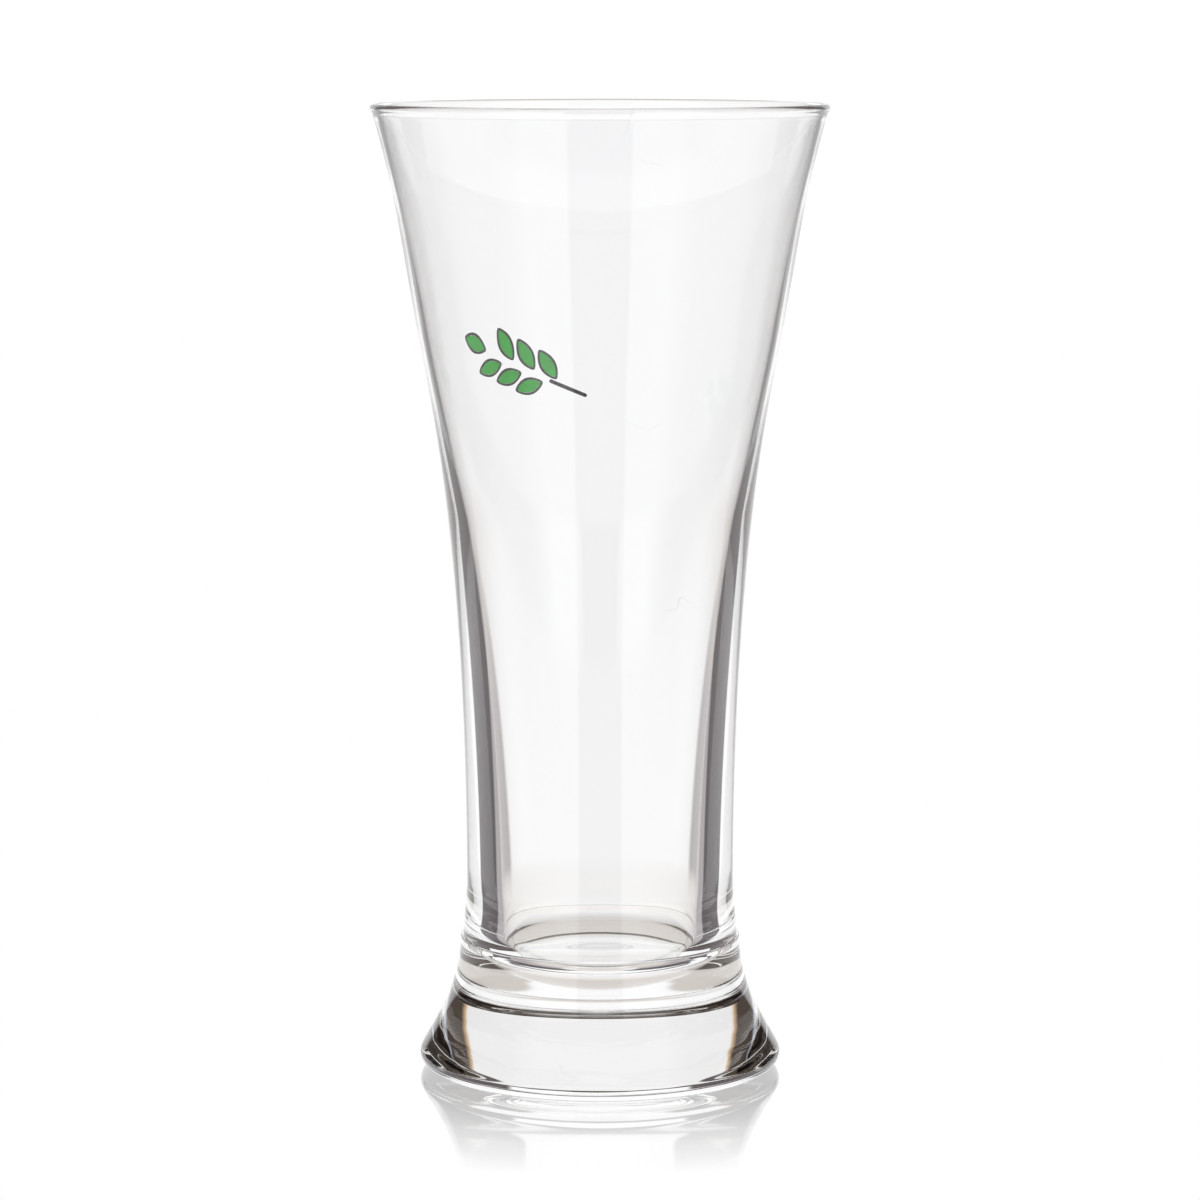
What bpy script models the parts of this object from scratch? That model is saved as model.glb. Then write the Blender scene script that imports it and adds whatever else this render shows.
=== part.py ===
"""A clear flared beer glass: a thick-walled bowl on a solid flared foot, with a small enamel print.

Metres, +Z up. The origin is on the table at the centre of the foot. The print is an ear of barley,
fired onto the outside of the bowl on its +Y side, where it shows through the glass from the front.
"""

import math
from typing import NamedTuple

import bmesh
import bpy
import numpy as np
from mathutils import Vector
from mathutils.geometry import interpolate_bezier


class Station(NamedTuple):
    """A point that a wall curve passes through, with its lean and how far the curve follows it."""

    radius: float
    height: float
    lean: float = 0.0
    above: float = 0.0
    below: float = 0.0


# Lip: a fire-polished bead on the thin end of the wall
HEIGHT = 0.180
RIM_RADIUS = 0.04224
BEAD_RADIUS = 0.0008

# Outside of the bowl, from the lip down to the ring where it meets the foot
LIP = Station(0.04178, 0.1782, 0.278, below=0.0159)
FLARE = Station(0.03400, 0.1400, 0.181, above=0.0200, below=0.0128)
WAIST = Station(0.02494, 0.0356, above=0.0642, below=0.0032)
BOWL_EDGE = Station(0.02569, 0.0250, above=0.0019)

# Inside of the bowl: the wall thickens from the lip down and turns into a dished floor
INNER_LIP = Station(0.04031, 0.1782, 0.270, below=0.0124)
INNER_MIDDLE = Station(0.02550, 0.1050, 0.208, above=0.0200, below=0.0290)
INNER_BOTTOM = Station(0.01850, 0.0265, above=0.0100, below=0.0063)
FLOOR_HEIGHT = 0.0193
FLOOR_REACH = 0.0139
BOWL_DEPTH_AT_CENTRE = 0.0150

# Foot: its top edge stands a little proud of the bowl, and it spreads to a rounded heel. It stands on
# a narrow flat ring round a shallow recess.
FOOT_EDGE = Station(0.02617, 0.0247, below=0.0112)
HEEL = Station(0.03388, 0.0028, above=0.0017)
HEEL_DROP = 0.0026
HEEL_REACH = 0.0305
BEARING_OUTER_RADIUS = 0.0286
BEARING_INNER_RADIUS = 0.0274
RECESS_RADIUS = 0.0245
RECESS_RISE = 0.00025
WELD_GAP = 0.0003

# Print: an ear of barley in green enamel with a dark outline, centred on the back of the bowl
PRINT_HEIGHT = 0.130
PRINT_TURN = math.radians(33)
EAR_LEAN = math.radians(24)
GRAIN_ROWS = 3
GRAIN_SPACING = 0.0049
GRAIN_OFFSET = 0.0028
GRAIN_SPREAD = math.radians(38)
GRAIN_LENGTH = 0.0052
GRAIN_WIDTH = 0.0023
GRAIN_POINT = 0.4
OUTLINE_WIDTH = 0.0005
OUTLINE_GAP = 0.0001
STALK_LENGTH = 0.0080
STALK_WIDTH = 0.0008
ENAMEL_THICKNESS = 0.00015
ENAMEL_GAP = 0.0002

# Facets
TURN_STEPS = 56
GRAIN_STEPS = 20
STALK_STEPS = 16


def clear_scene():
    """Remove every object that the file starts with."""
    for item in list(bpy.data.objects):
        bpy.data.objects.remove(item, do_unlink=True)


def material(name, colour, roughness, transmission=0.0):
    """A Principled material, with the index of soda-lime glass where it lets light through."""
    finish = bpy.data.materials.new(name)
    finish.use_nodes = True
    shader = finish.node_tree.nodes["Principled BSDF"]
    shader.inputs["Base Color"].default_value = (*colour, 1.0)
    shader.inputs["Roughness"].default_value = roughness
    shader.inputs["Transmission Weight"].default_value = transmission
    shader.inputs["IOR"].default_value = 1.52
    return finish


def point(radius, height):
    """A point of a turned outline, which lies in the XZ plane."""
    return Vector((radius, 0.0, height))


def curve(start, start_handle, end_handle, end, steps):
    """Points along a Bezier curve, without its first, so that stretches join end to end."""
    return interpolate_bezier(start, start_handle, end_handle, end, steps + 1)[1:]


def wall(upper, lower, steps):
    """Points down a wall between two stations, leaning as each of them says."""
    return curve(
        point(upper.radius, upper.height),
        point(upper.radius - upper.lean * upper.below, upper.height - upper.below),
        point(lower.radius + lower.lean * lower.above, lower.height + lower.above),
        point(lower.radius, lower.height),
        steps,
    )


def arc(centre, radius, start_degrees, end_degrees, steps):
    """Points along an arc, without its first."""
    angles = [
        math.radians(start_degrees + (end_degrees - start_degrees) * step / steps)
        for step in range(1, steps + 1)
    ]
    return [centre + radius * point(math.cos(angle), math.sin(angle)) for angle in angles]


def dish(edge_radius, edge_height, centre_height, steps):
    """Points from the rim of a shallow dish to its middle, along part of an ellipse."""
    points = []
    for step in range(1, steps + 1):
        angle = 0.5 * math.pi * step / steps
        height = centre_height + (edge_height - centre_height) * (1.0 - math.sin(angle))
        points.append(point(edge_radius * math.cos(angle), height))
    points[-1].x = 0.0
    return points


def bowl_outside():
    """The outside of the bowl from under its bead down to the ring where it meets the foot."""
    points = [point(LIP.radius, LIP.height)]
    points += wall(LIP, FLARE, 6)
    points += wall(FLARE, WAIST, 10)
    points += wall(WAIST, BOWL_EDGE, 4)
    return points


def bowl_inside():
    """The inside of the bowl from under its bead down to the middle of its floor."""
    points = [point(INNER_LIP.radius, INNER_LIP.height)]
    points += wall(INNER_LIP, INNER_MIDDLE, 8)
    points += wall(INNER_MIDDLE, INNER_BOTTOM, 8)
    points += curve(
        point(INNER_BOTTOM.radius, INNER_BOTTOM.height),
        point(INNER_BOTTOM.radius, INNER_BOTTOM.height - INNER_BOTTOM.below),
        point(FLOOR_REACH, FLOOR_HEIGHT),
        point(0.0, FLOOR_HEIGHT),
        8,
    )
    return points


def bowl_outline():
    """From the middle of the floor up the inside, over the bead and down the outside."""
    bead_centre = point(RIM_RADIUS - BEAD_RADIUS, HEIGHT - BEAD_RADIUS)
    points = list(reversed(bowl_inside()))
    points += arc(bead_centre, BEAD_RADIUS, 200, -30, 8)
    points += bowl_outside()
    points += dish(BOWL_EDGE.radius, BOWL_EDGE.height, BOWL_DEPTH_AT_CENTRE, 7)
    return points


def foot_outline():
    """From the middle of the dished top out to its edge, down the flare and under to the middle."""
    dish_edge = point(BOWL_EDGE.radius, BOWL_EDGE.height - WELD_GAP)
    weld = dish(dish_edge.x, dish_edge.z, BOWL_DEPTH_AT_CENTRE - WELD_GAP, 7)
    points = list(reversed(weld)) + [dish_edge]
    points.append(point(FOOT_EDGE.radius, FOOT_EDGE.height))
    points += wall(FOOT_EDGE, HEEL, 10)
    points += curve(
        point(HEEL.radius, HEEL.height),
        point(HEEL.radius, HEEL.height - HEEL_DROP),
        point(HEEL_REACH, 0.0),
        point(BEARING_OUTER_RADIUS, 0.0),
        7,
    )
    points.append(point(BEARING_INNER_RADIUS, 0.0))
    points.append(point(RECESS_RADIUS, RECESS_RISE))
    points.append(point(0.0, RECESS_RISE))
    return points


def turned(name, outline, finish, collection):
    """A solid of revolution about +Z, from an outline that runs down its outer side."""
    mesh = bpy.data.meshes.new(name)
    edges = [(index, index + 1) for index in range(len(outline) - 1)]
    mesh.from_pydata(outline, edges, [])
    mesh.materials.append(finish)
    solid = bpy.data.objects.new(name, mesh)
    collection.objects.link(solid)
    screw = solid.modifiers.new("turn", "SCREW")
    screw.axis = "Z"
    screw.angle = math.tau
    screw.steps = TURN_STEPS
    screw.render_steps = TURN_STEPS
    screw.use_merge_vertices = True
    screw.merge_threshold = 0.00001
    screw.use_smooth_shade = True
    return solid


def on_bowl(across, up):
    """A place on the back of the bowl, just off the glass, for someone who faces the print."""
    outside = bowl_outside()
    heights = [place.z for place in reversed(outside)]
    radii = [place.x for place in reversed(outside)]
    height = PRINT_HEIGHT + up
    radius = float(np.interp(height, heights, radii)) + ENAMEL_GAP
    angle = PRINT_TURN + across / radius
    return Vector((-radius * math.sin(angle), radius * math.cos(angle), height))


def laid_on_bowl(name, sheet, finish, collection):
    """A thin enamel solid from a flat sheet whose X runs along the ear and whose Y runs across it."""
    for vertex in sheet.verts:
        along, side = vertex.co.x, vertex.co.y
        across = along * math.cos(EAR_LEAN) - side * math.sin(EAR_LEAN)
        up = along * math.sin(EAR_LEAN) + side * math.cos(EAR_LEAN)
        vertex.co = on_bowl(across, up)
    mesh = bpy.data.meshes.new(name)
    sheet.to_mesh(mesh)
    sheet.free()
    mesh.materials.append(finish)
    mesh.shade_smooth()
    mesh.set_sharp_from_angle(angle=math.radians(40))
    enamel = bpy.data.objects.new(name, mesh)
    collection.objects.link(enamel)
    solidify = enamel.modifiers.new("film", "SOLIDIFY")
    solidify.thickness = ENAMEL_THICKNESS
    solidify.offset = 1.0
    return enamel


def shape_grain(vertices, half_length, half_width, place, turn):
    """Turn the points of a unit circle into a pointed grain and put it in its place on the ear."""
    for vertex in vertices:
        x, y = vertex.co.x, vertex.co.y
        along = half_length * x
        side = half_width * y * (1.0 - GRAIN_POINT * x * x)
        vertex.co.x = place.x + along * math.cos(turn) - side * math.sin(turn)
        vertex.co.y = place.y + along * math.sin(turn) + side * math.cos(turn)


def grain_fill(name, place, turn, finish, collection):
    """The green middle of one grain."""
    sheet = bmesh.new()
    disc = bmesh.ops.create_circle(sheet, cap_ends=True, cap_tris=True, segments=GRAIN_STEPS, radius=1.0)
    shape_grain(disc["verts"], GRAIN_LENGTH / 2, GRAIN_WIDTH / 2, place, turn)
    return laid_on_bowl(name, sheet, finish, collection)


def grain_outline(name, place, turn, finish, collection):
    """The dark line round one grain, as a ring just outside the green."""
    sheet = bmesh.new()
    for margin in (OUTLINE_GAP, OUTLINE_GAP + OUTLINE_WIDTH):
        ring = bmesh.ops.create_circle(sheet, segments=GRAIN_STEPS, radius=1.0)
        shape_grain(ring["verts"], GRAIN_LENGTH / 2 + margin, GRAIN_WIDTH / 2 + margin, place, turn)
    bmesh.ops.bridge_loops(sheet, edges=sheet.edges)
    bmesh.ops.recalc_face_normals(sheet, faces=sheet.faces)
    return laid_on_bowl(name, sheet, finish, collection)


def stalk(name, start, finish, collection):
    """The dark stroke of the ear's stalk, a bar with round ends."""
    sheet = bmesh.new()
    disc = bmesh.ops.create_circle(
        sheet, cap_ends=True, cap_tris=True, segments=STALK_STEPS, radius=STALK_WIDTH / 2
    )
    for vertex in disc["verts"]:
        stretch = (STALK_LENGTH - STALK_WIDTH) / 2
        vertex.co.x += math.copysign(stretch, vertex.co.x) if abs(vertex.co.x) > 1e-6 else 0.0
        vertex.co.x += start - STALK_LENGTH / 2
    return laid_on_bowl(name, sheet, finish, collection)


def ear_places():
    """Where each grain sits on the ear: its name, its place and which way it points."""
    first = -0.5 * GRAIN_ROWS * GRAIN_SPACING
    places = []
    for row in range(GRAIN_ROWS):
        along = first + row * GRAIN_SPACING
        places.append((f"upper_grain_{row + 1}", Vector((along, GRAIN_OFFSET)), GRAIN_SPREAD))
        shifted = along + GRAIN_SPACING / 2
        places.append((f"lower_grain_{row + 1}", Vector((shifted, -GRAIN_OFFSET)), -GRAIN_SPREAD))
    tip = first + (GRAIN_ROWS + 0.55) * GRAIN_SPACING
    places.append(("tip_grain", Vector((tip, 0.0)), 0.0))
    return places


def main():
    clear_scene()
    collection = bpy.data.collections.new("beer_glass")
    bpy.context.scene.collection.children.link(collection)

    bowl_glass = material("bowl_glass", (0.95, 0.96, 0.96), 0.02, transmission=1.0)
    foot_glass = material("foot_glass", (0.94, 0.95, 0.94), 0.02, transmission=1.0)
    green_enamel = material("green_enamel", (0.01, 0.36, 0.03), 0.25)
    dark_enamel = material("dark_enamel", (0.02, 0.012, 0.022), 0.25)

    turned("bowl", bowl_outline(), bowl_glass, collection)
    turned("foot", foot_outline(), foot_glass, collection)
    for name, place, turn in ear_places():
        grain_fill(f"{name}_fill", place, turn, green_enamel, collection)
        grain_outline(f"{name}_outline", place, turn, dark_enamel, collection)
    first_grain = ear_places()[0][1]
    stalk("ear_stalk", first_grain.x - GRAIN_LENGTH / 4, dark_enamel, collection)


main()
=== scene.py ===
"""Looks of the footed beer glass: clear glass, a fired enamel ear of barley and a white studio table.

Metres, +Z up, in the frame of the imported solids. The camera stands on the -Y side.
"""

import math
from typing import NamedTuple

import bmesh
import bpy
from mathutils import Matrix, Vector, noise
from mathutils.geometry import interpolate_bezier


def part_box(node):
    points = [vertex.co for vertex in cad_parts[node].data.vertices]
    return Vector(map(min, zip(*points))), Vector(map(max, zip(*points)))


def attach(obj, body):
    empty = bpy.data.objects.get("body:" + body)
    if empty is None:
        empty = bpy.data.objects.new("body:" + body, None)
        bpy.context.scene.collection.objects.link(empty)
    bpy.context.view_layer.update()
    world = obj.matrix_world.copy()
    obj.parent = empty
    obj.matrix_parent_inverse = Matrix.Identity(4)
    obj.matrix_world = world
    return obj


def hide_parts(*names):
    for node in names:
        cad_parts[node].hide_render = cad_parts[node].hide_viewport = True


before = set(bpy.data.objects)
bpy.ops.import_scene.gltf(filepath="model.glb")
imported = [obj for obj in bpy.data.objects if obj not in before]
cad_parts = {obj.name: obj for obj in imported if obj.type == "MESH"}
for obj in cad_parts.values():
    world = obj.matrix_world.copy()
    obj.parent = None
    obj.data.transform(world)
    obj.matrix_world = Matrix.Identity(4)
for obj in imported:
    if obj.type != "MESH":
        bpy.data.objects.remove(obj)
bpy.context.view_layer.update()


class Station(NamedTuple):
    """A point that a wall curve passes through, with its lean and how far the curve follows it."""

    radius: float
    height: float
    lean: float = 0.0
    above: float = 0.0
    below: float = 0.0


class Grain(NamedTuple):
    """One grain of the ear: its name, where it sits and which way it points."""

    name: str
    place: Vector
    turned_by: float


class Look(NamedTuple):
    """What a kind of light path meets round the room, from below level to the ceiling, and the table."""

    lower: tuple
    low: tuple
    high: tuple
    above: tuple
    ceiling: tuple
    table: tuple
    table_edge: float = -22


# Lip: a fire-polished bead on the thin end of the wall
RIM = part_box("bowl")[1]
HEIGHT = RIM.z
RIM_RADIUS = RIM.x
BEAD_RADIUS = 0.0008
BEAD_START = 200
BEAD_END = -30

# Outside of the bowl, from the lip down to the ring where it meets the foot
LIP = Station(0.04178, 0.1782, 0.278, below=0.0159)
FLARE = Station(0.03400, 0.1400, 0.181, above=0.0200, below=0.0128)
WAIST = Station(0.02494, 0.0356, above=0.0642, below=0.0032)
BOWL_EDGE = Station(0.02569, 0.0250, above=0.0019)

# Inside of the bowl: the wall thickens from the lip down and turns into a dished floor
INNER_LIP = Station(0.04031, 0.1782, 0.270, below=0.0124)
INNER_MIDDLE = Station(0.02550, 0.1050, 0.208, above=0.0200, below=0.0290)
INNER_BOTTOM = Station(0.01850, 0.0265, above=0.0100, below=0.0063)
FLOOR_HEIGHT = 0.0193
FLOOR_REACH = 0.0139
WELD_DEPTH = 0.0150

# Foot: its top edge stands a little proud of the bowl, and it spreads to a rounded heel
FOOT_EDGE = Station(0.02617, 0.0249, below=0.0112)
FOOT_EDGE_ROUND = 0.0003
HEEL = Station(0.03388, 0.0028, above=0.0017)
HEEL_FULLNESS = 0.93
HEEL_REACH = 0.0305
BEARING_OUTER_RADIUS = 0.0286
BEARING_INNER_RADIUS = 0.0274
RECESS_RADIUS = 0.0245
RECESS_RISE = 0.00025
RECESS_EASE = 0.4
RECESS_WAVES_PER_METRE = 170.0
RECESS_WAVE_HEIGHT = 0.000035

# Print: an ear of barley in green enamel with a dark outline, on the back of the bowl
PRINT_HEIGHT = 0.130
PRINT_TURN = math.radians(33)
EAR_LEAN = math.radians(24)
GRAIN_ROWS = 3
GRAIN_SPACING = 0.0049
GRAIN_OFFSET = 0.0028
GRAIN_SPREAD = math.radians(38)
GRAIN_LENGTH = 0.0052
GRAIN_WIDTH = 0.0023
GRAIN_POINT = 0.4
TIP_GAP = 0.55
OUTLINE_WIDTH = 0.0005
OUTLINE_GAP = 0.0001
STALK_LENGTH = 0.0080
STALK_WIDTH = 0.0008
FILM_THICKNESS = 0.00012
FILM_ROUND = 0.00005
FILM_LIFT = 0.00002
FILM_SEAM = 0.00002

# Fineness of the meshes
TURN_STEPS = 192
BEAD_STEPS = 24
FLARE_STEPS = 40
BODY_STEPS = 60
NECK_STEPS = 16
INSIDE_STEPS = 40
FLOOR_STEPS = 48
WELD_STEPS = 24
FOOT_EDGE_STEPS = 8
FOOT_STEPS = 70
HEEL_STEPS = 32
BEARING_STEPS = 4
RECESS_STEPS = 24
GRAIN_STEPS = 48
GRAIN_RINGS = 4
STALK_STEPS = 24
OUTLINE_BANDS = 2
FILM_ROUND_STEPS = 3
MERGE_DISTANCE = 1e-6
GLASS_FACES, WELD_FACES = 0, 1
SHARP_ANGLE = math.radians(40)
FILM_EDGE_ANGLE = 1.0

# Finishes
GLASS_IOR = 1.52
BOWL_TINT = (0.99, 0.992, 0.99)
FOOT_TINT = (0.985, 0.988, 0.98)
WORN_TINT = (0.40, 0.38, 0.39)
WORN_ROUGHNESS = 0.2
SCRATCH_SHARE = 0.25
SCRATCH_TURN = (0.4, 0.9, 0.3)
SCRATCH_STRETCH = (1.0, 0.12, 1.0)
SCRATCHED_ABOVE = 0.64
SPECKS_ABOVE = 0.75
FINE_DETAIL = 3.0
BOWL_WAVES_PER_METRE = 130.0
BOWL_WAVE_STRETCH = (1.0, 1.0, 0.12)
BOWL_WAVE_HEIGHT = 0.000004
FOOT_WAVES_PER_METRE = 110.0
FOOT_WAVE_STRETCH = (1.0, 1.0, 1.0)
FOOT_WAVE_HEIGHT = 0.00001
DEEP_GREEN = (0.004, 0.33, 0.012)
PALE_GREEN = (0.010, 0.42, 0.022)
DEEP_BLACK = (0.010, 0.006, 0.012)
PALE_BLACK = (0.022, 0.015, 0.024)
ENAMEL_TONES = (0.35, 0.65)
ENAMEL_GRAINS = (0.3, 0.7)
ENAMEL_ROUGHNESS = (0.16, 0.34)
ENAMEL_GRAIN_HEIGHT = 0.00001
ENAMEL_GRAIN_STRENGTH = 0.4

# Camera, as the photograph was taken
CAMERA_PLACE = (0.0, -0.79574, 0.19708)
CAMERA_TILT = 0.1361
FRAME_PIXELS = 1200
FOCAL_PIXELS = 4314.36
SENSOR_WIDTH = 36.0

# Table
TABLE_RADIUS = 2.0
TABLE_DROP = 0.00005
TABLE_STEPS = 128
MIRROR_ROUGHNESS = 0.05
MIRROR_SHARE = 0.60
MIRROR_FULL_RADIUS = 0.030
MIRROR_END_RADIUS = 0.080

# Studio: what light meets after the glass. Each kind of light path has its own look round the room, as
# brightness by the angle in degrees from straight behind the glass, and the table by the angle down.
BACKDROP = (1.1, 1.1, 1.1)
WHITE = (1.03, 1.03, 1.04)
SOFT_WHITE = (1.0, 1.0, 1.015)
BRIGHT = (1.08, 1.08, 1.09)
CEILING = (0.93, 0.93, 0.94)
CLOUD = (0.92, 0.915, 0.92)
PALE = (0.80, 0.79, 0.79)
BEIGE = (0.70, 0.66, 0.62)
GREY = (0.44, 0.41, 0.42)
DARK = (0.09, 0.075, 0.083)
BROWN = (0.075, 0.058, 0.045)
WARM = (0.66, 0.45, 0.27)
COOL = (0.24, 0.33, 0.50)
SOFT_BOX = (1.35, 1.35, 1.35)
ACROSS_THE_BOWL = (
    (0, SOFT_WHITE), (4, SOFT_WHITE), (14, BRIGHT), (23, BRIGHT), (26, GREY), (37, GREY), (41, PALE),
    (50, WHITE),
)
BESIDE_THE_WALL = (
    (0, WHITE), (20.5, WHITE), (22, DARK), (53, DARK), (55, GREY), (72, GREY), (78, DARK),
)
BELOW_THE_WALL = (
    (0, WHITE), (20.5, WHITE), (22, DARK), (53, DARK), (55, GREY), (72, GREY), (96, BEIGE), (131, BEIGE),
    (136, WHITE),
)
FRONT_OF_THE_ROOM = ((0, BROWN), (112, BROWN), (135, SOFT_BOX), (161, SOFT_BOX), (163, DARK))
SOFT_BOXES = (
    (0, BACKDROP), (70, BACKDROP), (80, PALE), (118, PALE), (135, SOFT_BOX), (161, SOFT_BOX),
    (163, DARK),
)
SOFT_BOXES_HIGH = (
    (0, BACKDROP), (24, BACKDROP), (30, DARK), (118, DARK), (135, SOFT_BOX), (161, SOFT_BOX),
    (163, DARK),
)
OVER_THE_FLAGS = (
    (0, CLOUD), (40, CLOUD), (41.5, WARM), (44, BROWN), (61, BROWN), (63, COOL), (65, BEIGE), (72, PALE),
    (80, CLOUD), (130, CLOUD), (135, PALE), (160, PALE), (166, CLOUD),
)
PLAIN_CEILING = ((0, CEILING),)
DARK_CEILING = ((0, DARK),)
BACK_CEILING = ((0, CEILING), (110, CEILING), (125, DARK))
SPLIT_CEILING = ((0, WHITE), (18, WHITE), (24, DARK), (61, DARK), (72, CEILING))
OUTSIDE_CEILING = ((0, BACKDROP), (24, BACKDROP), (30, DARK), (110, DARK), (130, CEILING))
TABLE_BESIDE = (
    (20, (0.92, 0.91, 0.90)),
    (35, (0.90, 0.88, 0.87)),
    (39, (0.66, 0.61, 0.57)),
    (62, (0.62, 0.57, 0.53)),
    (70, DARK),
)
TABLE_BELOW = (
    (20, (1.02, 1.02, 1.02)),
    (55, (0.98, 0.97, 0.96)),
    (78, (0.80, 0.77, 0.74)),
    (90, (0.78, 0.74, 0.71)),
)
TABLE_ACROSS = ((20, WHITE), (40, PALE), (62, BEIGE), (70, DARK))
TABLE_UNDER = ((20, BEIGE),)
PLAIN_WHITE = ((0, WHITE),)
PLAIN_BEIGE = ((0, BEIGE),)
PLAIN_CREAM = ((0, (0.96, 0.94, 0.92)),)
STRAIGHT_THROUGH = Look(
    PLAIN_WHITE, PLAIN_WHITE, PLAIN_WHITE, PLAIN_WHITE, DARK_CEILING, TABLE_BESIDE
)
THROUGH_THE_BOWL = Look(
    PLAIN_CREAM, ACROSS_THE_BOWL, ACROSS_THE_BOWL, OVER_THE_FLAGS, PLAIN_CEILING, TABLE_ACROSS
)
REFLECTED_INSIDE = Look(
    BELOW_THE_WALL, BESIDE_THE_WALL, FRONT_OF_THE_ROOM, OVER_THE_FLAGS, SPLIT_CEILING, TABLE_BELOW,
    table_edge=-64,
)
UNDER_THE_FLOOR = Look(
    PLAIN_BEIGE, PLAIN_BEIGE, FRONT_OF_THE_ROOM, OVER_THE_FLAGS, BACK_CEILING, TABLE_UNDER
)
REFLECTED_OUTSIDE = Look(
    SOFT_BOXES, SOFT_BOXES, SOFT_BOXES_HIGH, SOFT_BOXES_HIGH, OUTSIDE_CEILING, TABLE_BELOW,
    table_edge=-45,
)
STRAIGHT_TO_THE_FRONT = 180.0
STRAIGHT_DOWN = 90.0
LOW_FROM, LOW_TO = -18, -14
LEVEL_FROM, LEVEL_TO = -2, 0
FLAG_TOP_FROM, FLAG_TOP_TO = 6, 8
CEILING_FROM, CEILING_TO = 23, 28
TABLE_BLUR = 4
PASSES_OF_ONE_WALL = 2
LOST_AFTER_BOUNCES = 7
MOST_BOUNCES = 40
MOST_REFLECTIONS = 20


# Outlines

def point(radius, height):
    """A point of a turned outline, which lies in the XZ plane."""
    return Vector((radius, 0.0, height))


def curve(start, start_handle, end_handle, end, steps):
    """Points along a Bezier curve, without its first, so that stretches join end to end."""
    return interpolate_bezier(start, start_handle, end_handle, end, steps + 1)[1:]


def wall(upper, lower, steps):
    """Points down a wall between two stations, leaning as each of them says."""
    return curve(
        point(upper.radius, upper.height),
        point(upper.radius - upper.lean * upper.below, upper.height - upper.below),
        point(lower.radius + lower.lean * lower.above, lower.height + lower.above),
        point(lower.radius, lower.height),
        steps,
    )


def arc(centre, radius, start_degrees, end_degrees, steps):
    """Points along an arc, without its first."""
    angles = [
        math.radians(start_degrees + (end_degrees - start_degrees) * step / steps)
        for step in range(1, steps + 1)
    ]
    return [centre + radius * point(math.cos(angle), math.sin(angle)) for angle in angles]


def level(start, end, steps):
    """Points along a straight run, without its first."""
    return [start.lerp(end, step / steps) for step in range(1, steps + 1)]


def weld_face():
    """The dished face where the bowl and the foot are melted together, from its edge to the middle."""
    points = []
    for step in range(WELD_STEPS + 1):
        angle = 0.5 * math.pi * step / WELD_STEPS
        depth = (BOWL_EDGE.height - WELD_DEPTH) * math.sin(angle)
        points.append(point(BOWL_EDGE.radius * math.cos(angle), BOWL_EDGE.height - depth))
    points[-1].x = 0.0
    return points


def bowl_outside():
    """The outside of the bowl from under its bead down to the ring where it meets the foot."""
    points = [point(LIP.radius, LIP.height)]
    points += wall(LIP, FLARE, FLARE_STEPS)
    points += wall(FLARE, WAIST, BODY_STEPS)
    points += wall(WAIST, BOWL_EDGE, NECK_STEPS)
    return points


def bowl_inside():
    """The inside of the bowl from under its bead down to the middle of its floor."""
    points = [point(INNER_LIP.radius, INNER_LIP.height)]
    points += wall(INNER_LIP, INNER_MIDDLE, INSIDE_STEPS)
    points += wall(INNER_MIDDLE, INNER_BOTTOM, INSIDE_STEPS)
    points += curve(
        point(INNER_BOTTOM.radius, INNER_BOTTOM.height),
        point(INNER_BOTTOM.radius, INNER_BOTTOM.height - INNER_BOTTOM.below),
        point(FLOOR_REACH, FLOOR_HEIGHT),
        point(0.0, FLOOR_HEIGHT),
        FLOOR_STEPS,
    )
    return points


def bowl_outline():
    """From the middle of the floor up the inside, over the bead and down the outside."""
    bead_centre = point(RIM_RADIUS - BEAD_RADIUS, HEIGHT - BEAD_RADIUS)
    points = list(reversed(bowl_inside()))
    points += arc(bead_centre, BEAD_RADIUS, BEAD_START, BEAD_END, BEAD_STEPS)
    return points + bowl_outside()


def foot_outline():
    """From the ring where the bowl meets it, over the proud edge, down the flare and underneath."""
    edge_top = FOOT_EDGE.height + 0.5 * (BOWL_EDGE.height - FOOT_EDGE.height)
    edge_centre = point(FOOT_EDGE.radius - FOOT_EDGE_ROUND, edge_top - FOOT_EDGE_ROUND)
    flare_top = FOOT_EDGE._replace(height=edge_centre.z)
    points = [point(BOWL_EDGE.radius, BOWL_EDGE.height)]
    points.append(point(edge_centre.x, edge_top))
    points += arc(edge_centre, FOOT_EDGE_ROUND, 90, 0, FOOT_EDGE_STEPS)
    points += wall(flare_top, HEEL, FOOT_STEPS)
    heel = point(HEEL.radius, HEEL.height)
    corner = point(HEEL.radius, 0.0)
    bearing_outer = point(BEARING_OUTER_RADIUS, 0.0)
    bearing_inner = point(BEARING_INNER_RADIUS, 0.0)
    recess_edge = point(RECESS_RADIUS, RECESS_RISE)
    heel_handle = heel.lerp(corner, HEEL_FULLNESS)
    points += curve(heel, heel_handle, point(HEEL_REACH, 0.0), bearing_outer, HEEL_STEPS)
    points += level(bearing_outer, bearing_inner, BEARING_STEPS)
    ease = point(RECESS_EASE * (BEARING_INNER_RADIUS - RECESS_RADIUS), 0.0)
    points += curve(bearing_inner, bearing_inner - ease, recess_edge + ease, recess_edge, RECESS_STEPS)
    points += level(recess_edge, point(0.0, RECESS_RISE), RECESS_STEPS)
    return points


# Pieces

def turn(mesh, outline, finish_index):
    """Spin an outline once round the axis and give the new faces one of the piece's finishes."""
    earlier = set(mesh.faces)
    points = [mesh.verts.new(place) for place in outline]
    edges = [mesh.edges.new(pair) for pair in zip(points, points[1:])]
    bmesh.ops.spin(
        mesh,
        geom=points + edges,
        cent=(0.0, 0.0, 0.0),
        axis=(0.0, 0.0, 1.0),
        angle=math.tau,
        steps=TURN_STEPS,
        use_merge=True,
    )
    for face in set(mesh.faces) - earlier:
        face.material_index = finish_index


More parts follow.
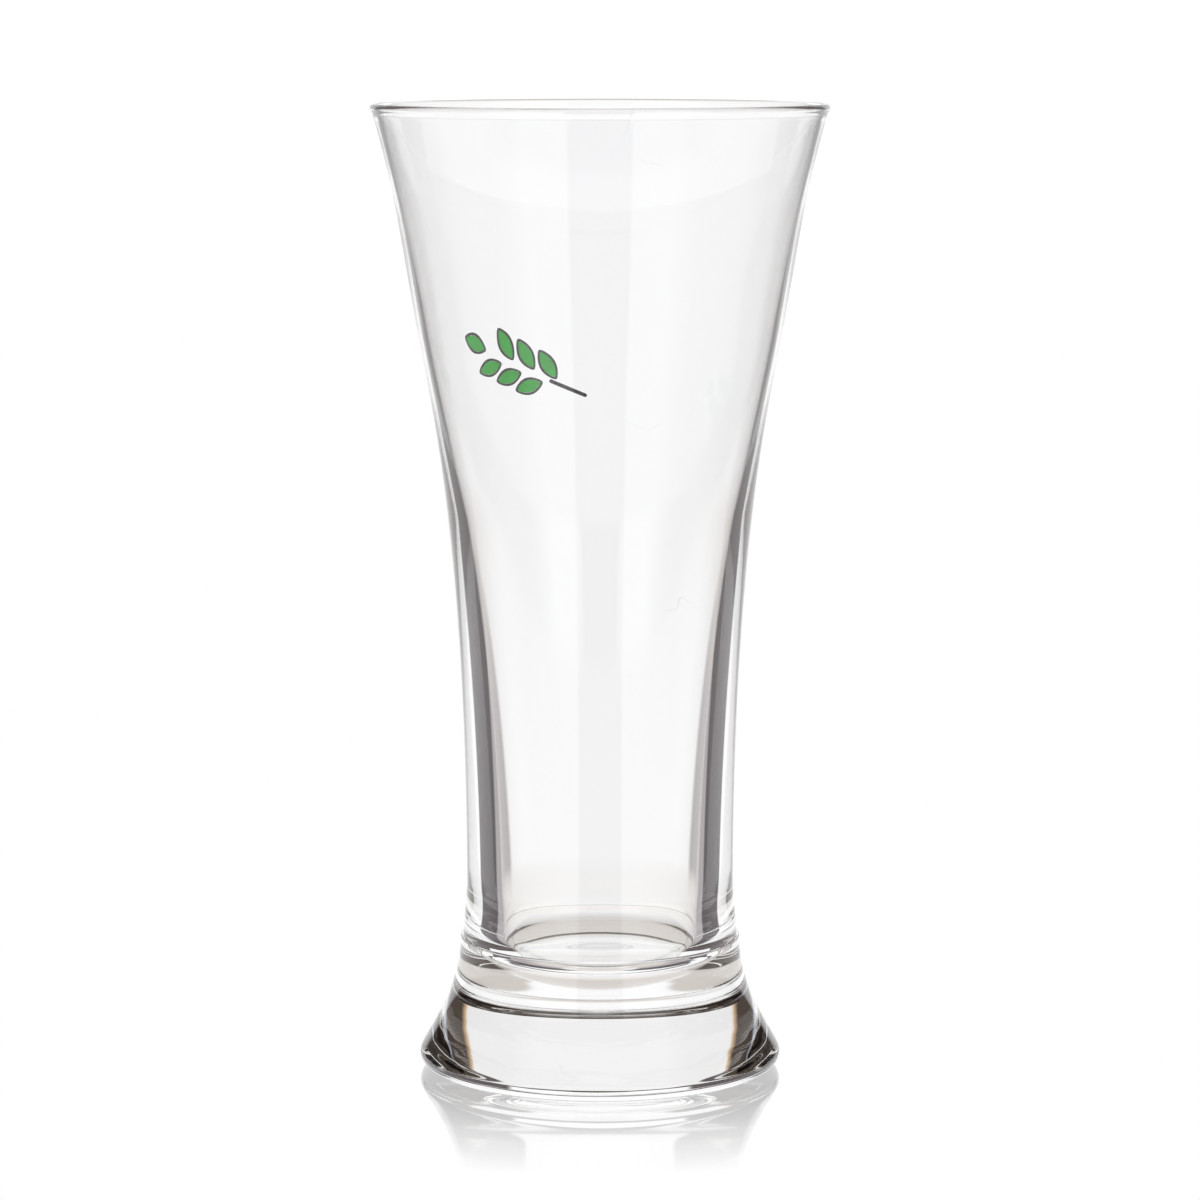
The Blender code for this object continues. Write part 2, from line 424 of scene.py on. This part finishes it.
def finish_piece(name, mesh, finishes, node):
    """Close the mesh, make it an object in place of its solid and give it its finishes."""
    bmesh.ops.remove_doubles(mesh, verts=mesh.verts, dist=MERGE_DISTANCE)
    bmesh.ops.recalc_face_normals(mesh, faces=mesh.faces)
    data = bpy.data.meshes.new(name)
    mesh.to_mesh(data)
    mesh.free()
    for finish in finishes:
        data.materials.append(finish)
    data.shade_smooth()
    data.set_sharp_from_angle(angle=SHARP_ANGLE)
    piece = bpy.data.objects.new(name, data)
    bpy.context.scene.collection.objects.link(piece)
    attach(piece, "root")
    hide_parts(node)


def make_bowl(glass, weld):
    """The bowl, whose underside is the weld with the foot."""
    mesh = bmesh.new()
    turn(mesh, bowl_outline(), GLASS_FACES)
    turn(mesh, weld_face(), WELD_FACES)
    finish_piece("bowl_of_clear_glass", mesh, (glass, weld), "bowl")


def make_foot(glass, weld):
    """The foot, whose dished top is the weld with the bowl."""
    mesh = bmesh.new()
    turn(mesh, foot_outline(), GLASS_FACES)
    for vertex in mesh.verts:
        inward = (BEARING_INNER_RADIUS - vertex.co.xy.length) / (BEARING_INNER_RADIUS - RECESS_RADIUS)
        if inward > 0.0 and vertex.co.z <= RECESS_RISE + MERGE_DISTANCE:
            wave = noise.noise(vertex.co * RECESS_WAVES_PER_METRE)
            vertex.co.z += min(inward, 1.0) * RECESS_WAVE_HEIGHT * wave
    turn(mesh, weld_face(), WELD_FACES)
    finish_piece("foot_of_clear_glass", mesh, (glass, weld), "foot")


def bowl_radius(height, outside):
    """The outside radius of the bowl at a height, from the points of its outside."""
    for upper, lower in zip(outside, outside[1:]):
        if lower.z <= height <= upper.z:
            share = (height - lower.z) / (upper.z - lower.z)
            return lower.x + share * (upper.x - lower.x)
    raise ValueError("the print lies off the bowl")


def lay_on_bowl(mesh):
    """Wrap a flat film round the bowl: X runs along the ear, Y across it and Z off the glass."""
    outside = bowl_outside()
    for vertex in mesh.verts:
        along, side, lift = vertex.co
        across = along * math.cos(EAR_LEAN) - side * math.sin(EAR_LEAN)
        height = PRINT_HEIGHT + along * math.sin(EAR_LEAN) + side * math.cos(EAR_LEAN)
        radius = bowl_radius(height, outside) + lift
        angle = PRINT_TURN + across / radius
        vertex.co = (-radius * math.sin(angle), radius * math.cos(angle), height)


def make_film(name, sheet, enamel):
    """Give a flat sheet the thickness and soft upper edge of fired enamel and lay it on the bowl."""
    bmesh.ops.recalc_face_normals(sheet, faces=sheet.faces)
    if sheet.faces[0].normal.z < 0.0:
        bmesh.ops.reverse_faces(sheet, faces=sheet.faces)
    lower = list(sheet.faces)
    raised = bmesh.ops.extrude_face_region(sheet, geom=lower, use_keep_orig=True)["geom"]
    upper = [item for item in raised if isinstance(item, bmesh.types.BMVert)]
    bmesh.ops.translate(sheet, verts=upper, vec=(0.0, 0.0, FILM_THICKNESS))
    bmesh.ops.recalc_face_normals(sheet, faces=sheet.faces)
    rim = [edge for edge in sheet.edges if edge.calc_face_angle(0.0) > FILM_EDGE_ANGLE]
    rim = [edge for edge in rim if min(end.co.z for end in edge.verts) > 0.5 * FILM_THICKNESS]
    bmesh.ops.bevel(
        sheet,
        geom=rim,
        offset=FILM_ROUND,
        segments=FILM_ROUND_STEPS,
        profile=0.5,
        affect="EDGES",
        material=-1,
    )
    bmesh.ops.translate(sheet, verts=sheet.verts, vec=(0.0, 0.0, FILM_LIFT))
    lay_on_bowl(sheet)
    finish_piece(f"{name}_enamel", sheet, (enamel,), name)


def shape_grain(vertices, margin, place, turned_by):
    """Turn the points of a unit circle into a pointed grain and put it in its place on the ear."""
    half_length = GRAIN_LENGTH / 2 + margin
    half_width = GRAIN_WIDTH / 2 + margin
    for vertex in vertices:
        x, y = vertex.co.x, vertex.co.y
        along = half_length * x
        side = half_width * y * (1.0 - GRAIN_POINT * x * x)
        vertex.co.x = place.x + along * math.cos(turned_by) - side * math.sin(turned_by)
        vertex.co.y = place.y + along * math.sin(turned_by) + side * math.cos(turned_by)


def make_grain_fill(name, place, turned_by, enamel):
    """The green middle of one grain, in rings so that it follows the bowl."""
    sheet = bmesh.new()
    bmesh.ops.create_circle(sheet, cap_ends=True, segments=GRAIN_STEPS, radius=1.0)
    middle = sheet.faces[:]
    for _ring in range(GRAIN_RINGS):
        bmesh.ops.inset_region(sheet, faces=middle, thickness=1.0 / (GRAIN_RINGS + 1))
    bmesh.ops.poke(sheet, faces=middle)
    shape_grain(sheet.verts, OUTLINE_GAP - FILM_SEAM, place, turned_by)
    make_film(f"{name}_fill", sheet, enamel)


def make_grain_outline(name, place, turned_by, enamel):
    """The dark line round one grain."""
    sheet = bmesh.new()
    for band in range(OUTLINE_BANDS + 1):
        loop = bmesh.ops.create_circle(sheet, segments=GRAIN_STEPS, radius=1.0)
        margin = OUTLINE_GAP + OUTLINE_WIDTH * band / OUTLINE_BANDS
        shape_grain(loop["verts"], margin, place, turned_by)
    bmesh.ops.bridge_loops(sheet, edges=sheet.edges)
    make_film(f"{name}_outline", sheet, enamel)


def make_stalk(start, enamel):
    """The dark stroke of the ear's stalk, a bar with round ends."""
    sheet = bmesh.new()
    disc = bmesh.ops.create_circle(sheet, cap_ends=True, segments=STALK_STEPS, radius=STALK_WIDTH / 2)
    stretch = (STALK_LENGTH - STALK_WIDTH) / 2
    for vertex in disc["verts"]:
        if abs(vertex.co.x) > MERGE_DISTANCE:
            vertex.co.x += math.copysign(stretch, vertex.co.x)
        vertex.co.x += start - STALK_LENGTH / 2
    make_film("ear_stalk", sheet, enamel)


def ear_of_barley():
    """The grains in two rows, half a step apart, and one at the tip."""
    first = -0.5 * GRAIN_ROWS * GRAIN_SPACING
    grains = []
    for row in range(GRAIN_ROWS):
        along = first + row * GRAIN_SPACING
        grains.append(Grain(f"upper_grain_{row + 1}", Vector((along, GRAIN_OFFSET)), GRAIN_SPREAD))
        shifted = along + GRAIN_SPACING / 2
        grains.append(Grain(f"lower_grain_{row + 1}", Vector((shifted, -GRAIN_OFFSET)), -GRAIN_SPREAD))
    tip = first + (GRAIN_ROWS + TIP_GAP) * GRAIN_SPACING
    grains.append(Grain("tip_grain", Vector((tip, 0.0)), 0.0))
    return grains


# Shading helpers

def add(tree, kind, **settings):
    """A new node with its settings."""
    node = tree.nodes.new(kind)
    for name, value in settings.items():
        setattr(node, name, value)
    return node


def plug(tree, target, value):
    """Give an input a number, a colour or another node's output."""
    if isinstance(value, bpy.types.NodeSocket):
        tree.links.new(value, target)
    else:
        target.default_value = value


def calculate(tree, operation, *values):
    """The output of a Math node on numbers or outputs."""
    node = add(tree, "ShaderNodeMath", operation=operation)
    for target, value in zip(node.inputs, values):
        plug(tree, target, value)
    return node.outputs[0]


def remap(tree, value, low, high, to_low=0.0, to_high=1.0):
    """A value carried from one range to another and held at its ends."""
    node = add(tree, "ShaderNodeMapRange")
    for name, amount in (
        ("Value", value),
        ("From Min", low),
        ("From Max", high),
        ("To Min", to_low),
        ("To Max", to_high),
    ):
        plug(tree, node.inputs[name], amount)
    return node.outputs["Result"]


def blend_colours(tree, share, first, second):
    """A mix of two colours."""
    node = add(tree, "ShaderNodeMix", data_type="RGBA")
    plug(tree, node.inputs["Factor"], share)
    plug(tree, node.inputs["A"], first)
    plug(tree, node.inputs["B"], second)
    return node.outputs["Result"]


def shade_by_angle(tree, degrees, stops, full_range):
    """A colour that changes with an angle, from (degrees, colour) stops."""
    node = add(tree, "ShaderNodeValToRGB")
    plug(tree, node.inputs["Fac"], calculate(tree, "DIVIDE", degrees, full_range))
    ramp = node.color_ramp.elements
    ramp.remove(ramp[-1])
    for index, (angle, colour) in enumerate(stops):
        stop = ramp[0] if index == 0 else ramp.new(angle / full_range)
        stop.position = angle / full_range
        stop.color = (*colour, 1.0)
    return node.outputs["Color"]


# Finishes

def start_group(name, inputs, outputs):
    """An empty shader node group with named sockets, and its two end nodes."""
    group = bpy.data.node_groups.new(name, "ShaderNodeTree")
    for label, kind, value in inputs:
        socket = group.interface.new_socket(label, in_out="INPUT", socket_type=kind)
        if value is not None:
            socket.default_value = value
    for label in outputs:
        group.interface.new_socket(label, in_out="OUTPUT", socket_type="NodeSocketFloat")
    return group, add(group, "NodeGroupInput"), add(group, "NodeGroupOutput")


def forming_waves():
    """Soft waves that forming leaves in glass: long along one direction, short across it."""
    group, given, result = start_group(
        "forming_waves",
        (
            ("Position", "NodeSocketVector", None),
            ("Stretch", "NodeSocketVector", None),
            ("Waves per metre", "NodeSocketFloat", 100.0),
        ),
        ("Height",),
    )
    stretched = add(group, "ShaderNodeVectorMath", operation="MULTIPLY")
    plug(group, stretched.inputs[0], given.outputs["Position"])
    plug(group, stretched.inputs[1], given.outputs["Stretch"])
    waves = add(group, "ShaderNodeTexNoise")
    plug(group, waves.inputs["Vector"], stretched.outputs["Vector"])
    plug(group, waves.inputs["Scale"], given.outputs["Waves per metre"])
    plug(group, waves.inputs["Detail"], 1.0)
    plug(group, result.inputs["Height"], waves.outputs["Fac"])
    return group


def handling_marks():
    """Masks of the few specks and hairline scratches that a used glass carries."""
    group, given, result = start_group(
        "handling_marks",
        (
            ("Position", "NodeSocketVector", None),
            ("Specks per metre", "NodeSocketFloat", 90.0),
            ("Speck size", "NodeSocketFloat", 0.010),
            ("Scratches per metre", "NodeSocketFloat", 40.0),
            ("Scratch width", "NodeSocketFloat", 0.0012),
        ),
        ("Specks", "Scratches"),
    )
    cells = add(group, "ShaderNodeTexVoronoi")
    plug(group, cells.inputs["Vector"], given.outputs["Position"])
    plug(group, cells.inputs["Scale"], given.outputs["Specks per metre"])
    chosen = add(group, "ShaderNodeSeparateColor")
    plug(group, chosen.inputs["Color"], cells.outputs["Color"])
    near = calculate(group, "LESS_THAN", cells.outputs["Distance"], given.outputs["Speck size"])
    kept = calculate(group, "GREATER_THAN", chosen.outputs["Red"], SPECKS_ABOVE)
    plug(group, result.inputs["Specks"], calculate(group, "MULTIPLY", near, kept))

    drawn_out = add(group, "ShaderNodeMapping")
    plug(group, drawn_out.inputs["Vector"], given.outputs["Position"])
    plug(group, drawn_out.inputs["Rotation"], SCRATCH_TURN)
    plug(group, drawn_out.inputs["Scale"], SCRATCH_STRETCH)
    lines = add(group, "ShaderNodeTexNoise")
    plug(group, lines.inputs["Vector"], drawn_out.outputs["Vector"])
    plug(group, lines.inputs["Scale"], given.outputs["Scratches per metre"])
    plug(group, lines.inputs["Detail"], FINE_DETAIL)
    off_line = calculate(group, "ABSOLUTE", calculate(group, "SUBTRACT", lines.outputs["Fac"], 0.5))
    on_line = calculate(group, "LESS_THAN", off_line, given.outputs["Scratch width"])
    patches = add(group, "ShaderNodeTexNoise")
    plug(group, patches.inputs["Vector"], given.outputs["Position"])
    plug(group, patches.inputs["Scale"], given.outputs["Scratches per metre"])
    worn = calculate(group, "GREATER_THAN", patches.outputs["Fac"], SCRATCHED_ABOVE)
    plug(group, result.inputs["Scratches"], calculate(group, "MULTIPLY", on_line, worn))
    return group


def enamel_mottle():
    """The uneven tone and the fine grain of a fired screen print."""
    group, given, result = start_group(
        "enamel_mottle",
        (
            ("Position", "NodeSocketVector", None),
            ("Patches per metre", "NodeSocketFloat", 900.0),
            ("Grains per metre", "NodeSocketFloat", 6000.0),
        ),
        ("Tone", "Grain"),
    )
    for label, density in (("Tone", "Patches per metre"), ("Grain", "Grains per metre")):
        texture = add(group, "ShaderNodeTexNoise")
        plug(group, texture.inputs["Vector"], given.outputs["Position"])
        plug(group, texture.inputs["Scale"], given.outputs[density])
        plug(group, texture.inputs["Detail"], FINE_DETAIL)
        plug(group, result.inputs[label], texture.outputs["Fac"])
    return group


def start_material(name):
    """A material with its node tree and its shader."""
    material = bpy.data.materials.new(name)
    material.use_nodes = True
    tree = material.node_tree
    return material, tree, tree.nodes["Principled BSDF"]


def use_group(tree, group, **values):
    """A group placed in a material with its own values, on the piece's own coordinates."""
    node = add(tree, "ShaderNodeGroup", node_tree=group)
    plug(tree, node.inputs["Position"], add(tree, "ShaderNodeTexCoord").outputs["Object"])
    for label, value in values.items():
        plug(tree, node.inputs[label.replace("_", " ").capitalize()], value)
    return node


def roughen(tree, shader, height, distance, strength):
    """Let a height tilt the surface a little."""
    bump = add(tree, "ShaderNodeBump")
    plug(tree, bump.inputs["Strength"], strength)
    plug(tree, bump.inputs["Distance"], distance)
    plug(tree, bump.inputs["Height"], height)
    plug(tree, shader.inputs["Normal"], bump.outputs["Normal"])


def clear_glass(name, tint, waves, marks, stretch, waves_per_metre, wave_height):
    """Clear soda-lime glass with the waves of its forming and a few marks of use."""
    material, tree, shader = start_material(name)
    plug(tree, shader.inputs["Transmission Weight"], 1.0)
    plug(tree, shader.inputs["IOR"], GLASS_IOR)
    marked = use_group(tree, marks)
    formed = use_group(tree, waves, stretch=stretch, waves_per_metre=waves_per_metre)
    worn = calculate(tree, "MULTIPLY", marked.outputs["Scratches"], SCRATCH_SHARE)
    worn = calculate(tree, "MAXIMUM", worn, marked.outputs["Specks"])
    tone = blend_colours(tree, worn, (*tint, 1.0), (*WORN_TINT, 1.0))
    plug(tree, shader.inputs["Base Color"], tone)
    plug(tree, shader.inputs["Roughness"], calculate(tree, "MULTIPLY", worn, WORN_ROUGHNESS))
    roughen(tree, shader, formed.outputs["Height"], wave_height, 1.0)
    return material


def melted_weld():
    """The weld inside the glass, where light passes on as if nothing were there."""
    material, tree, shader = start_material("melted_weld")
    plug(tree, shader.inputs["Alpha"], 0.0)
    return material


def fired_enamel(name, mottle, deep, pale):
    """Glossy enamel with a slightly uneven tone."""
    material, tree, shader = start_material(name)
    uneven = use_group(tree, mottle)
    grain = uneven.outputs["Grain"]
    tone = remap(tree, uneven.outputs["Tone"], *ENAMEL_TONES)
    plug(tree, shader.inputs["Base Color"], blend_colours(tree, tone, (*deep, 1.0), (*pale, 1.0)))
    plug(tree, shader.inputs["Roughness"], remap(tree, grain, *ENAMEL_GRAINS, *ENAMEL_ROUGHNESS))
    roughen(tree, shader, grain, ENAMEL_GRAIN_HEIGHT, ENAMEL_GRAIN_STRENGTH)
    return material


# Studio

def make_table():
    """A white table that mirrors the foot close by. Only the camera sees it."""
    mesh = bmesh.new()
    bmesh.ops.create_circle(mesh, cap_ends=True, segments=TABLE_STEPS, radius=TABLE_RADIUS)
    bmesh.ops.translate(mesh, verts=mesh.verts, vec=(0.0, 0.0, -TABLE_DROP))
    data = bpy.data.meshes.new("table")
    mesh.to_mesh(data)
    mesh.free()
    material = bpy.data.materials.new("table_white")
    material.use_nodes = True
    tree = material.node_tree
    tree.nodes.clear()
    white = add(tree, "ShaderNodeEmission")
    mirror = add(tree, "ShaderNodeBsdfGlossy")
    plug(tree, mirror.inputs["Color"], (1.0, 1.0, 1.0, 1.0))
    plug(tree, mirror.inputs["Roughness"], MIRROR_ROUGHNESS)
    distance = add(tree, "ShaderNodeVectorMath", operation="LENGTH")
    plug(tree, distance.inputs[0], add(tree, "ShaderNodeTexCoord").outputs["Object"])
    share = remap(
        tree, distance.outputs["Value"], MIRROR_FULL_RADIUS, MIRROR_END_RADIUS, MIRROR_SHARE, 0.0
    )
    mixed = add(tree, "ShaderNodeMixShader")
    plug(tree, mixed.inputs["Fac"], share)
    plug(tree, mixed.inputs[1], white.outputs["Emission"])
    plug(tree, mixed.inputs[2], mirror.outputs["BSDF"])
    output = add(tree, "ShaderNodeOutputMaterial")
    plug(tree, output.inputs["Surface"], mixed.outputs["Shader"])
    data.materials.append(material)
    table = bpy.data.objects.new("table", data)
    bpy.context.scene.collection.objects.link(table)
    table.visible_transmission = False
    table.visible_glossy = False
    table.visible_diffuse = False
    table.visible_shadow = False


def look_round(tree, angles, look):
    """The colour that one kind of light path meets."""
    round_angle, rise, fall = angles
    seen = shade_by_angle(tree, round_angle, look.lower, STRAIGHT_TO_THE_FRONT)
    for stops, low, high in (
        (look.low, LOW_FROM, LOW_TO),
        (look.high, LEVEL_FROM, LEVEL_TO),
        (look.above, FLAG_TOP_FROM, FLAG_TOP_TO),
        (look.ceiling, CEILING_FROM, CEILING_TO),
    ):
        share = remap(tree, rise, low, high)
        zone = shade_by_angle(tree, round_angle, stops, STRAIGHT_TO_THE_FRONT)
        seen = blend_colours(tree, share, seen, zone)
    share = remap(tree, rise, look.table_edge, look.table_edge - TABLE_BLUR)
    table = shade_by_angle(tree, fall, look.table, STRAIGHT_DOWN)
    return blend_colours(tree, share, seen, table)


def room_angles(tree):
    """A direction as degrees round from straight behind the glass, degrees up and degrees down."""
    towards = add(tree, "ShaderNodeSeparateXYZ")
    plug(tree, towards.inputs["Vector"], add(tree, "ShaderNodeTexCoord").outputs["Generated"])
    aside = calculate(tree, "ABSOLUTE", towards.outputs["X"])
    round_angle = calculate(tree, "ARCTAN2", aside, towards.outputs["Y"])
    round_angle = calculate(tree, "DEGREES", round_angle)
    rise = calculate(tree, "DEGREES", calculate(tree, "ARCSINE", towards.outputs["Z"]))
    return round_angle, rise, calculate(tree, "MULTIPLY", rise, -1.0)


def make_studio():
    """The light: a white backdrop with dark flags beside it, soft boxes in front and a pale table."""
    world = bpy.data.worlds.new("studio")
    bpy.context.scene.world = world
    world.use_nodes = True
    tree = world.node_tree
    tree.nodes.clear()
    angles = room_angles(tree)
    path = add(tree, "ShaderNodeLightPath")
    passes = path.outputs["Transmission Depth"]
    through_bowl = calculate(tree, "GREATER_THAN", passes, PASSES_OF_ONE_WALL + 0.5)
    reflected = calculate(tree, "GREATER_THAN", path.outputs["Glossy Depth"], 0.5)
    under_floor = calculate(tree, "MULTIPLY", through_bowl, reflected)
    outside = calculate(tree, "LESS_THAN", passes, 0.5)
    lost = calculate(tree, "GREATER_THAN", path.outputs["Ray Depth"], LOST_AFTER_BOUNCES)
    seen = look_round(tree, angles, STRAIGHT_THROUGH)
    for chosen, look in (
        (through_bowl, THROUGH_THE_BOWL),
        (reflected, REFLECTED_INSIDE),
        (under_floor, UNDER_THE_FLOOR),
        (outside, REFLECTED_OUTSIDE),
    ):
        seen = blend_colours(tree, chosen, seen, look_round(tree, angles, look))
    sharp = path.outputs["Is Singular Ray"]
    off_table = calculate(tree, "MULTIPLY", outside, calculate(tree, "SUBTRACT", 1.0, sharp))
    for chosen, colour in (
        (lost, BROWN),
        (off_table, BACKDROP),
        (calculate(tree, "GREATER_THAN", path.outputs["Diffuse Depth"], 0.5), BACKDROP),
        (path.outputs["Is Camera Ray"], BACKDROP),
    ):
        seen = blend_colours(tree, chosen, seen, (*colour, 1.0))
    light = add(tree, "ShaderNodeBackground")
    plug(tree, light.inputs["Color"], seen)
    output = add(tree, "ShaderNodeOutputWorld")
    plug(tree, output.inputs["Surface"], light.outputs["Background"])


def make_camera():
    """The camera, at the photograph's viewing angle."""
    lens = bpy.data.cameras.new("camera")
    lens.sensor_width = SENSOR_WIDTH
    lens.lens = FOCAL_PIXELS / FRAME_PIXELS * SENSOR_WIDTH
    lens.clip_start = 0.01
    camera = bpy.data.objects.new("camera", lens)
    camera.location = CAMERA_PLACE
    camera.rotation_euler = (math.pi / 2 - CAMERA_TILT, 0.0, 0.0)
    bpy.context.scene.collection.objects.link(camera)
    bpy.context.scene.camera = camera


def set_renderer():
    """Plain colours, and enough bounces for light to find its way through the thick glass."""
    scene = bpy.context.scene
    scene.view_settings.view_transform = "Standard"
    scene.cycles.max_bounces = MOST_BOUNCES
    scene.cycles.transmission_bounces = MOST_BOUNCES
    scene.cycles.glossy_bounces = MOST_REFLECTIONS
    scene.cycles.transparent_max_bounces = MOST_REFLECTIONS
    scene.cycles.caustics_reflective = True
    scene.cycles.caustics_refractive = True
    scene.cycles.blur_glossy = 0.0
    scene.cycles.sample_clamp_indirect = 0.0


def main():
    make_camera()
    make_studio()
    make_table()
    set_renderer()

    waves = forming_waves()
    marks = handling_marks()
    mottle = enamel_mottle()
    bowl_glass = clear_glass(
        "clear_bowl_glass",
        BOWL_TINT,
        waves,
        marks,
        BOWL_WAVE_STRETCH,
        BOWL_WAVES_PER_METRE,
        BOWL_WAVE_HEIGHT,
    )
    foot_glass = clear_glass(
        "clear_foot_glass",
        FOOT_TINT,
        waves,
        marks,
        FOOT_WAVE_STRETCH,
        FOOT_WAVES_PER_METRE,
        FOOT_WAVE_HEIGHT,
    )
    weld = melted_weld()
    green = fired_enamel("green_enamel", mottle, DEEP_GREEN, PALE_GREEN)
    dark = fired_enamel("dark_enamel", mottle, DEEP_BLACK, PALE_BLACK)

    make_bowl(bowl_glass, weld)
    make_foot(foot_glass, weld)
    grains = ear_of_barley()
    for grain in grains:
        make_grain_fill(*grain, green)
        make_grain_outline(*grain, dark)
    make_stalk(grains[0].place.x - GRAIN_LENGTH / 4, dark)


main()
